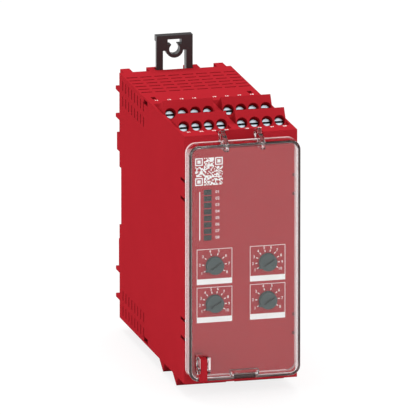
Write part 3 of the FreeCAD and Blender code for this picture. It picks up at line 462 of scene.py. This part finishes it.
def seal_slot(cover):
    """A slot for the housing's seal lug between two ears with a hole for the wire."""
    left, right = LUG_CENTRE - SLOT_HALF, LUG_CENTRE + SLOT_HALF
    carve(cover, lambda shape: block(
        shape, (left, COVER_FRONT - COVER_WALL, -COVER_HALF_HEIGHT - COVER_WALL),
        (right, RIM + COVER_WALL, SLOT_TOP)), "DIFFERENCE")
    root, front = COVER_FRONT + COVER_WALL / 2, COVER_FRONT - EAR_REACH
    ear = [(root, EAR_FOOT), (root, SLOT_TOP), (front, SLOT_TOP)]
    for step in range(EDGE_STEPS + 1):
        turn = math.pi / 2 * step / EDGE_STEPS
        ear.append((SEAL_HOLE.x + (front - SEAL_HOLE.x) * math.cos(turn),
                    SEAL_HOLE.y + (EAR_FOOT - SEAL_HOLE.y) * math.sin(turn)))
    for start in (left - EAR_SHEET, right):
        carve(cover, lambda shape: prism(shape, ear, "X", start, start + EAR_SHEET), "UNION")
    hole = circle_points(SEAL_HOLE, SEAL_RADIUS)
    carve(cover, lambda shape: prism(shape, hole, "X", left - 2 * EAR_SHEET, right + 2 * EAR_SHEET),
          "DIFFERENCE")


def paint_shade_and_highlight(cover):
    """Painted shade as dark plastic in the recess, and a painted highlight as a frosted front on the
    right-hand ear.
    """
    floor = COVER_FRONT + PULL_DEPTH
    ceiling = PULL_HEIGHT - COVER_HALF_HEIGHT
    ear_front = COVER_FRONT - EAR_REACH
    near = 0.01 * MM
    for face in cover.data.polygons:
        middle = face.center
        # painted shade: the recess's floor and ceilings take the dark plastic
        if abs(middle.x) < PULL_HALF:
            on_floor = abs(middle.y - floor) < near and middle.z < ceiling
            on_ceiling = abs(middle.z - ceiling) < near and middle.y < floor
            on_roof = abs(middle.z - ceiling - COVER_WALL) < near and middle.y < floor + COVER_WALL
            if on_floor or on_ceiling or on_roof:
                face.material_index = EDGE_SHADE_LOOK
        # painted highlight: the right-hand ear's front takes the pale frosted plastic
        if middle.x > LUG_CENTRE and abs(middle.y - ear_front) < near:
            face.material_index = RIM_HIGHLIGHT_LOOK


def make_cover():
    """The transparent tray with its arms, finger recess, slot and ears."""
    cover = piece_from("cover_shell", cover_tray, None, LOOKS["clear_cover"])
    for look in (COVER_EDGE_SHADE_LOOK, COVER_RIM_HIGHLIGHT_LOOK):
        cover.data.materials.append(look)
    hinge_arms(cover)
    pull_recess(cover)
    seal_slot(cover)
    softened = cover.modifiers.new("soft_edges", "BEVEL")
    softened.width = SOFT_WIDTH
    softened.segments = SOFT_SEGMENTS
    softened.limit_method = "ANGLE"
    softened.angle_limit = SOFT_ANGLE
    softened.use_clamp_overlap = True
    for face in cover.data.polygons:
        face.use_smooth = face.area < FLAT_FROM
    paint_shade_and_highlight(cover)
    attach(cover, "cover")
    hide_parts("clear_cover")


make_cover()


# ---------------------------------------------------------------- clamp screws

SCREW_DIAMETER = 3.0 * MM
SCREW_LENGTH = 7.0 * MM
HEAD_DIAMETER = 3.8 * MM
HEAD_HEIGHT = 1.5 * MM
HEAD_ROUND = 0.3 * MM
SCREW_SLOT = 0.8 * MM
SCREW_SLOT_DEPTH = 0.9 * MM
POLE_PITCH = 5.0 * MM
POLES = 4
BLOCK_TILT = math.radians(32)


def screw_mesh():
    """One slotted clamp screw along +Z, its middle at the origin."""
    top = SCREW_LENGTH / 2
    shank, head = SCREW_DIAMETER / 2, HEAD_DIAMETER / 2
    profile = [(shank - HEAD_ROUND, -top), (shank, HEAD_ROUND - top), (shank, top - HEAD_HEIGHT),
               (head, top - HEAD_HEIGHT), (head, top - HEAD_ROUND),
               (head - HEAD_ROUND * 0.3, top - HEAD_ROUND * 0.3), (head - HEAD_ROUND, top)]

    def turned(shape):
        rings = []
        for radius, z in profile:
            rings.append([shape.verts.new((radius * math.cos(math.tau * k / ROUND_STEPS),
                                           radius * math.sin(math.tau * k / ROUND_STEPS), z))
                          for k in range(ROUND_STEPS)])
        shape.faces.new(rings[0])
        shape.faces.new(rings[-1])
        for ring, following in zip(rings, rings[1:]):
            for k in range(ROUND_STEPS):
                nxt = (k + 1) % ROUND_STEPS
                shape.faces.new((ring[k], ring[nxt], following[nxt], following[k]))

    screw = piece_from("screw", turned, None, LOOKS["screw_steel"])
    carve(screw, lambda shape: block(shape, (-HEAD_DIAMETER, -SCREW_SLOT / 2, top - SCREW_SLOT_DEPTH),
                                     (HEAD_DIAMETER, SCREW_SLOT / 2, top + HEAD_HEIGHT)), "DIFFERENCE")
    mesh = screw.data
    # painted shade: the slot's walls and floor take the dark metal
    mesh.materials.append(SLOT_SHADE_LOOK)
    for face in mesh.polygons:
        on_wall = abs(face.normal.y) > 0.999
        on_floor = abs(face.center.z - (top - SCREW_SLOT_DEPTH)) < 0.001 * MM
        face.material_index = int(on_wall or on_floor)
    bpy.data.objects.remove(screw)
    return mesh


def clamp_screws():
    """Four headed screws in each block, where the frame has its plain ones."""
    screw = screw_mesh()
    for row, turn in (("top", math.pi / 2 - BLOCK_TILT), ("bottom", math.pi / 2 + BLOCK_TILT)):
        for tier in ("rear", "front"):
            for side in ("left", "right"):
                node = f"terminal_screws_{row}_{tier}_{side}"
                low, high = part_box(node)
                middle = (Vector(low) + Vector(high)) / 2

                def four(shape):
                    for pole in range(POLES):
                        start = len(shape.verts)
                        shape.from_mesh(screw)
                        shape.verts.ensure_lookup_table()
                        shift = Vector(((pole - (POLES - 1) / 2) * POLE_PITCH, 0, 0))
                        place = Matrix.Translation(middle + shift) @ Matrix.Rotation(turn, 4, "X")
                        bmesh.ops.transform(shape, matrix=place, verts=shape.verts[start:])
                piece = piece_from(f"clamp_screws_{row}_{tier}_{side}", four, f"block_{row}_{tier}_{side}",
                                   LOOKS["screw_steel"])
                piece.data.materials.append(SLOT_SHADE_LOOK)
                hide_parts(node)


clamp_screws()


# ---------------------------------------------------------------- print on the front face

INK = 0.03
FIGURE_SIZE = 1.4
WELD = 1e-7


def bar(shape, left, right, bottom, top):
    """A printed bar on the front face, its sides in millimetres."""
    block(shape, (left * MM, FRONT_Y - INK * MM, bottom * MM), (right * MM, FRONT_Y, top * MM))


def spoke(shape, centre, angle, inner, outer, width):
    """A printed tick that points away from a centre; the angle runs clockwise from straight up."""
    along = Vector((math.sin(angle), math.cos(angle)))
    across = Vector((along.y, -along.x)) * width / 2
    corners = [centre + along * inner + across, centre + along * outer + across,
               centre + along * outer - across, centre + along * inner - across]
    prism(shape, [tuple(corner * MM) for corner in corners], "Y", FRONT_Y - INK * MM, FRONT_Y)


def text_piece(name, marks, body, look, place, heavier=0.0):
    """Plain numbers as thin solid print; marks are (text, x, y, height, turn) in the print's own plane.

    Heavier widens each stroke, in millimetres, and FIGURE_SIZE is a font's size over its figures' height.
    """
    pieces = []
    for number, (words, x, y, height, turn) in enumerate(marks):
        curve = bpy.data.curves.new(f"{name}_{number}", "FONT")
        curve.body = words
        curve.size = height * MM * FIGURE_SIZE
        curve.align_x = "CENTER"
        curve.align_y = "CENTER"
        curve.extrude = INK * MM / 2
        curve.offset = heavier * MM
        curve.resolution_u = 2
        thing = bpy.data.objects.new(f"{name}_{number}", curve)
        shift = Matrix.Translation((x * MM, y * MM, INK * MM / 2))
        thing.matrix_world = place @ shift @ Matrix.Rotation(turn, 4, "Z")
        bpy.context.scene.collection.objects.link(thing)
        pieces.append(thing)
    bpy.context.view_layer.update()
    graph = bpy.context.evaluated_depsgraph_get()
    shape = bmesh.new()
    for thing in pieces:
        mesh = bpy.data.meshes.new_from_object(thing.evaluated_get(graph))
        mesh.transform(thing.matrix_world)
        shape.from_mesh(mesh)
        bpy.data.meshes.remove(mesh)
        bpy.data.objects.remove(thing)
    bmesh.ops.remove_doubles(shape, verts=shape.verts, dist=WELD)
    mesh = bpy.data.meshes.new(name)
    shape.to_mesh(mesh)
    shape.free()
    mesh.materials.append(look)
    piece = bpy.data.objects.new(name, mesh)
    bpy.context.scene.collection.objects.link(piece)
    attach(piece, body)
    return piece


# x to the right, y up and z towards the operator
FRONT_PLANE = Matrix(((1, 0, 0, 0), (0, 0, -1, FRONT_Y), (0, 1, 0, 0), (0, 0, 0, 1)))

# sizes and places of the print, in millimetres; a dial's frame lies a little lower than its knob,
# and each dial is given with its number of positions
DIAL_SIZE = 14.1
DIAL_DROP = 0.45
DIAL_LINE = 0.18
DIAL_STRIP = 2.2
DIALS = {"upper_left": 8, "upper_right": 10, "lower_left": 10, "lower_right": 8}
DIAL_SWEEP = math.radians(242)
TICK_INNER = 4.1
TICK_OUTER = 4.9
TICK_WIDTH = 0.34
NUMBER_RADIUS = 5.85
NUMBER_HEIGHT = 1.15
# left, right, bottom and top of the line beside the lamps
LAMP_LINE = (-16.65, -16.3, 7.8, 27.1)
LAMPS = 8
LAMP_PITCH = 2.6
FIRST_LAMP_DROP = 1.05
LAMP_NUMBER_X = -9.4
LAMP_NUMBER_HEIGHT = 1.2
PATCH_LEFT = -18.3
PATCH_BOTTOM = 29.6
PATCH_SIZE = 11.0
# cells across the patch, and across each framed square in its corners
PATCH_CELLS = 25
PATCH_FRAME = 7
PATCH_SEED = 7


def dial_print(shape, centre, count):
    """A frame with a filled foot and one tick for each position."""
    half = DIAL_SIZE / 2
    top = centre.y + half - DIAL_DROP
    bottom = top - DIAL_SIZE
    bar(shape, centre.x - half, centre.x + half, top - DIAL_LINE, top)
    bar(shape, centre.x - half, centre.x - half + DIAL_LINE, bottom + DIAL_STRIP, top - DIAL_LINE)
    bar(shape, centre.x + half - DIAL_LINE, centre.x + half, bottom + DIAL_STRIP, top - DIAL_LINE)
    bar(shape, centre.x - half, centre.x + half, bottom, bottom + DIAL_STRIP)
    for step in range(count):
        angle = DIAL_SWEEP * (step / (count - 1) - 0.5)
        spoke(shape, centre, angle, TICK_INNER, TICK_OUTER, TICK_WIDTH)


def front_print():
    """Dial frames, ticks and numbers, the lamp line and numbers, and a patch of plain modules."""
    centres = {}
    for place in DIALS:
        low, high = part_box(f"selector_switch_{place}")
        middle = (low + high) / 2 / MM
        centres[place] = Vector((middle.x, middle.z))

    def draw(shape):
        for place, count in DIALS.items():
            dial_print(shape, centres[place], count)
        bar(shape, *LAMP_LINE)
        patch(shape, PATCH_LEFT, PATCH_BOTTOM, PATCH_SIZE, PATCH_CELLS)
    piece_from("front_print", draw, "housing", PRINT_WHITE)

    marks = []
    for place, count in DIALS.items():
        for step in range(count):
            angle = DIAL_SWEEP * (step / (count - 1) - 0.5)
            at = centres[place] + Vector((math.sin(angle), math.cos(angle))) * NUMBER_RADIUS
            marks.append((str(step + 1), at.x, at.y, NUMBER_HEIGHT, 0.0))
    windows_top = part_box("status_windows")[1].z / MM
    for lamp in range(LAMPS):
        level = windows_top - FIRST_LAMP_DROP - lamp * LAMP_PITCH
        marks.append((f"{lamp + 1:02d}", LAMP_NUMBER_X, level, LAMP_NUMBER_HEIGHT, 0.0))
    text_piece("front_numbers", marks, "housing", PRINT_WHITE, FRONT_PLANE)


def patch(shape, left, bottom, size, count):
    """A square patch of random modules with a framed square in three corners; it encodes nothing."""
    draw = random.Random(PATCH_SEED)
    cell = size / count
    far = count - PATCH_FRAME
    corners = ((0, 0), (0, far), (far, far))
    middle = PATCH_FRAME // 2

    def filled(column, row):
        for c, r in corners:
            x, y = column - c, row - r
            if -1 <= x <= PATCH_FRAME and -1 <= y <= PATCH_FRAME:
                ring = max(abs(x - middle), abs(y - middle))
                return ring in (0, 1, middle)
        return draw.random() < 0.5

    for row in range(count):
        foot = bottom + row * cell
        start = None
        for column in range(count + 1):
            on = column < count and filled(column, row)
            if on and start is None:
                start = column
            if not on and start is not None:
                bar(shape, left + start * cell, left + column * cell, foot, bottom + (row + 1) * cell)
                start = None


front_print()


TOP_FACE = 49.5
TERMINAL_HEAVIER = 0.04
# the first number of each tier, and where its row lies along Y in millimetres
TERMINAL_ROWS = ((11, "rear", -45.6), (21, "front", -96.2))


def terminal_numbers():
    """Plain numbers on the top of the housing, one behind or in front of each screw well."""
    plane = Matrix.Translation((0, 0, TOP_FACE * MM))
    marks = []
    for first, tier, y in TERMINAL_ROWS:
        for side_start, side in ((0, "left"), (POLES, "right")):
            low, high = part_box(f"terminal_screws_top_{tier}_{side}")
            middle = (low.x + high.x) / 2
            for pole in range(POLES):
                x = (middle + (pole - (POLES - 1) / 2) * POLE_PITCH) / MM
                marks.append((str(first + side_start + pole), x, y, NUMBER_HEIGHT, 0.0))
    text_piece("terminal_numbers", marks, "housing", PRINT_WHITE, plane, TERMINAL_HEAVIER)


terminal_numbers()


# ---------------------------------------------------------------- floor, light and camera

WHITE = (1.0, 1.0, 1.0, 1.0)
FLOOR_SIZE = 14
FLOOR_GREY = (0.82, 0.82, 0.82, 1.0)
FLOOR_GLOW_SHARE = 0.75
FLOOR_GLOW = 1.08
WORLD_LIGHT = 0.74
FLAG_SHADE = 0.12
# where the room turns dark, as parts of a ray's direction: the flag by X, the corner by all three
FLAG_EDGE = (0.35, 0.6)
CORNER_EDGES = {"X": (0.0, 0.2), "Y": (0.1, 0.5), "Z": (0.02, 0.2)}


def seen_directly(tree, rays):
    """1 for rays of the camera, of reflections and of clear plastic, else 0."""
    seen = rays.outputs["Is Camera Ray"]
    for kind in ("Is Glossy Ray", "Is Transmission Ray"):
        seen = add(tree, "ShaderNodeMath", {0: seen, 1: rays.outputs[kind]}, operation="MAXIMUM").outputs[0]
    return seen


def white_floor():
    """A floor that reads white and still takes the object's shadow."""
    bpy.ops.mesh.primitive_plane_add(size=FLOOR_SIZE, location=(0, 0, cad_box[0][2]))
    floor = bpy.context.object
    floor.name = "floor"
    made, tree = new_material("floor_white")
    seen = seen_directly(tree, add(tree, "ShaderNodeLightPath"))
    glow_share = add(tree, "ShaderNodeMath", {0: seen, 1: FLOOR_GLOW_SHARE}, operation="MULTIPLY").outputs[0]
    matt = add(tree, "ShaderNodeBsdfDiffuse", {"Color": FLOOR_GREY})
    glow = add(tree, "ShaderNodeEmission", {"Color": WHITE, "Strength": FLOOR_GLOW})
    mix = add(tree, "ShaderNodeMixShader", {0: glow_share, 1: matt.outputs[0], 2: glow.outputs[0]})
    finish_material(tree, mix.outputs[0])
    floor.data.materials.append(made)


def step_down(tree, value, start, end):
    """1 up to a start, 0 from an end."""
    return add(tree, "ShaderNodeMapRange", {"Value": value, "From Min": start, "From Max": end,
                                            "To Min": 1.0, "To Max": 0.0}).outputs[0]


def studio():
    """Even light; reflections and clear edges find a white room with dark flags right and high behind."""
    world = bpy.data.worlds.new("studio")
    bpy.context.scene.world = world
    world.use_nodes = True
    tree = world.node_tree
    tree.nodes.clear()
    rays = add(tree, "ShaderNodeLightPath")
    way = add(tree, "ShaderNodeSeparateXYZ", {0: add(tree, "ShaderNodeTexCoord").outputs["Generated"]})
    flag = step_down(tree, way.outputs["X"], *FLAG_EDGE)
    corner = step_down(tree, way.outputs["X"], *CORNER_EDGES["X"])
    for side in ("Y", "Z"):
        edge = step_down(tree, way.outputs[side], *CORNER_EDGES[side])
        corner = add(tree, "ShaderNodeMath", {0: corner, 1: edge}, operation="MAXIMUM").outputs[0]
    open_share = add(tree, "ShaderNodeMath", {0: flag, 1: corner}, operation="MINIMUM").outputs[0]
    room = between(tree, open_share, FLAG_SHADE, 1.0)
    strength = add(tree, "ShaderNodeMath", {0: room, 1: rays.outputs["Is Camera Ray"]}, operation="MAXIMUM")
    light = add(tree, "ShaderNodeBackground", {"Color": WHITE, "Strength": WORLD_LIGHT})
    white = add(tree, "ShaderNodeBackground", {"Color": WHITE, "Strength": strength.outputs[0]})
    mix = add(tree, "ShaderNodeMixShader", {0: seen_directly(tree, rays), 1: light.outputs[0],
                                            2: white.outputs[0]})
    add(tree, "ShaderNodeOutputWorld", {"Surface": mix.outputs[0]})


def soft_lamp(name, place, target, size, power):
    """A square soft lamp at a place, aimed at a target."""
    lamp = bpy.data.lights.new(name, "AREA")
    lamp.shape = "SQUARE"
    lamp.size = size
    lamp.energy = power
    thing = bpy.data.objects.new(name, lamp)
    thing.location = place
    thing.rotation_euler = (Vector(target) - Vector(place)).to_track_quat("-Z", "Y").to_euler()
    bpy.context.scene.collection.objects.link(thing)


AIM = Vector((-0.3, -52.0, 6.9)) * MM
VIEW_WIDTH = 161.4 * MM
AZIMUTH = math.radians(-14.45)
ELEVATION = math.radians(14.8)
LENS = 1500.0
SENSOR = 36.0
# each lamp's place in metres, its width and its power in watts
SOFT_LAMPS = {
    "overhead": ((0.0, 0.15, 1.1), 0.6, 6.8),
    "front": ((0.2, -1.2, 0.5), 0.8, 3.3),
    "left": ((-1.1, 0.0, 0.25), 0.6, 2.9),
}


def camera():
    """A very long lens from far off, so that the view is nearly parallel."""
    data = bpy.data.cameras.new("camera")
    data.lens = LENS
    data.sensor_width = SENSOR
    distance = VIEW_WIDTH * LENS / SENSOR
    data.clip_end = distance * 3
    thing = bpy.data.objects.new("camera", data)
    back = Vector((math.sin(AZIMUTH) * math.cos(ELEVATION), -math.cos(AZIMUTH) * math.cos(ELEVATION),
                   math.sin(ELEVATION)))
    thing.location = AIM + back * distance
    thing.rotation_euler = (-back).to_track_quat("-Z", "Y").to_euler()
    bpy.context.scene.collection.objects.link(thing)
    bpy.context.scene.camera = thing


white_floor()
studio()
for lamp_name, (lamp_place, lamp_size, lamp_power) in SOFT_LAMPS.items():
    soft_lamp(lamp_name, lamp_place, AIM, lamp_size, lamp_power)
camera()
bpy.context.scene.view_settings.view_transform = "Standard"
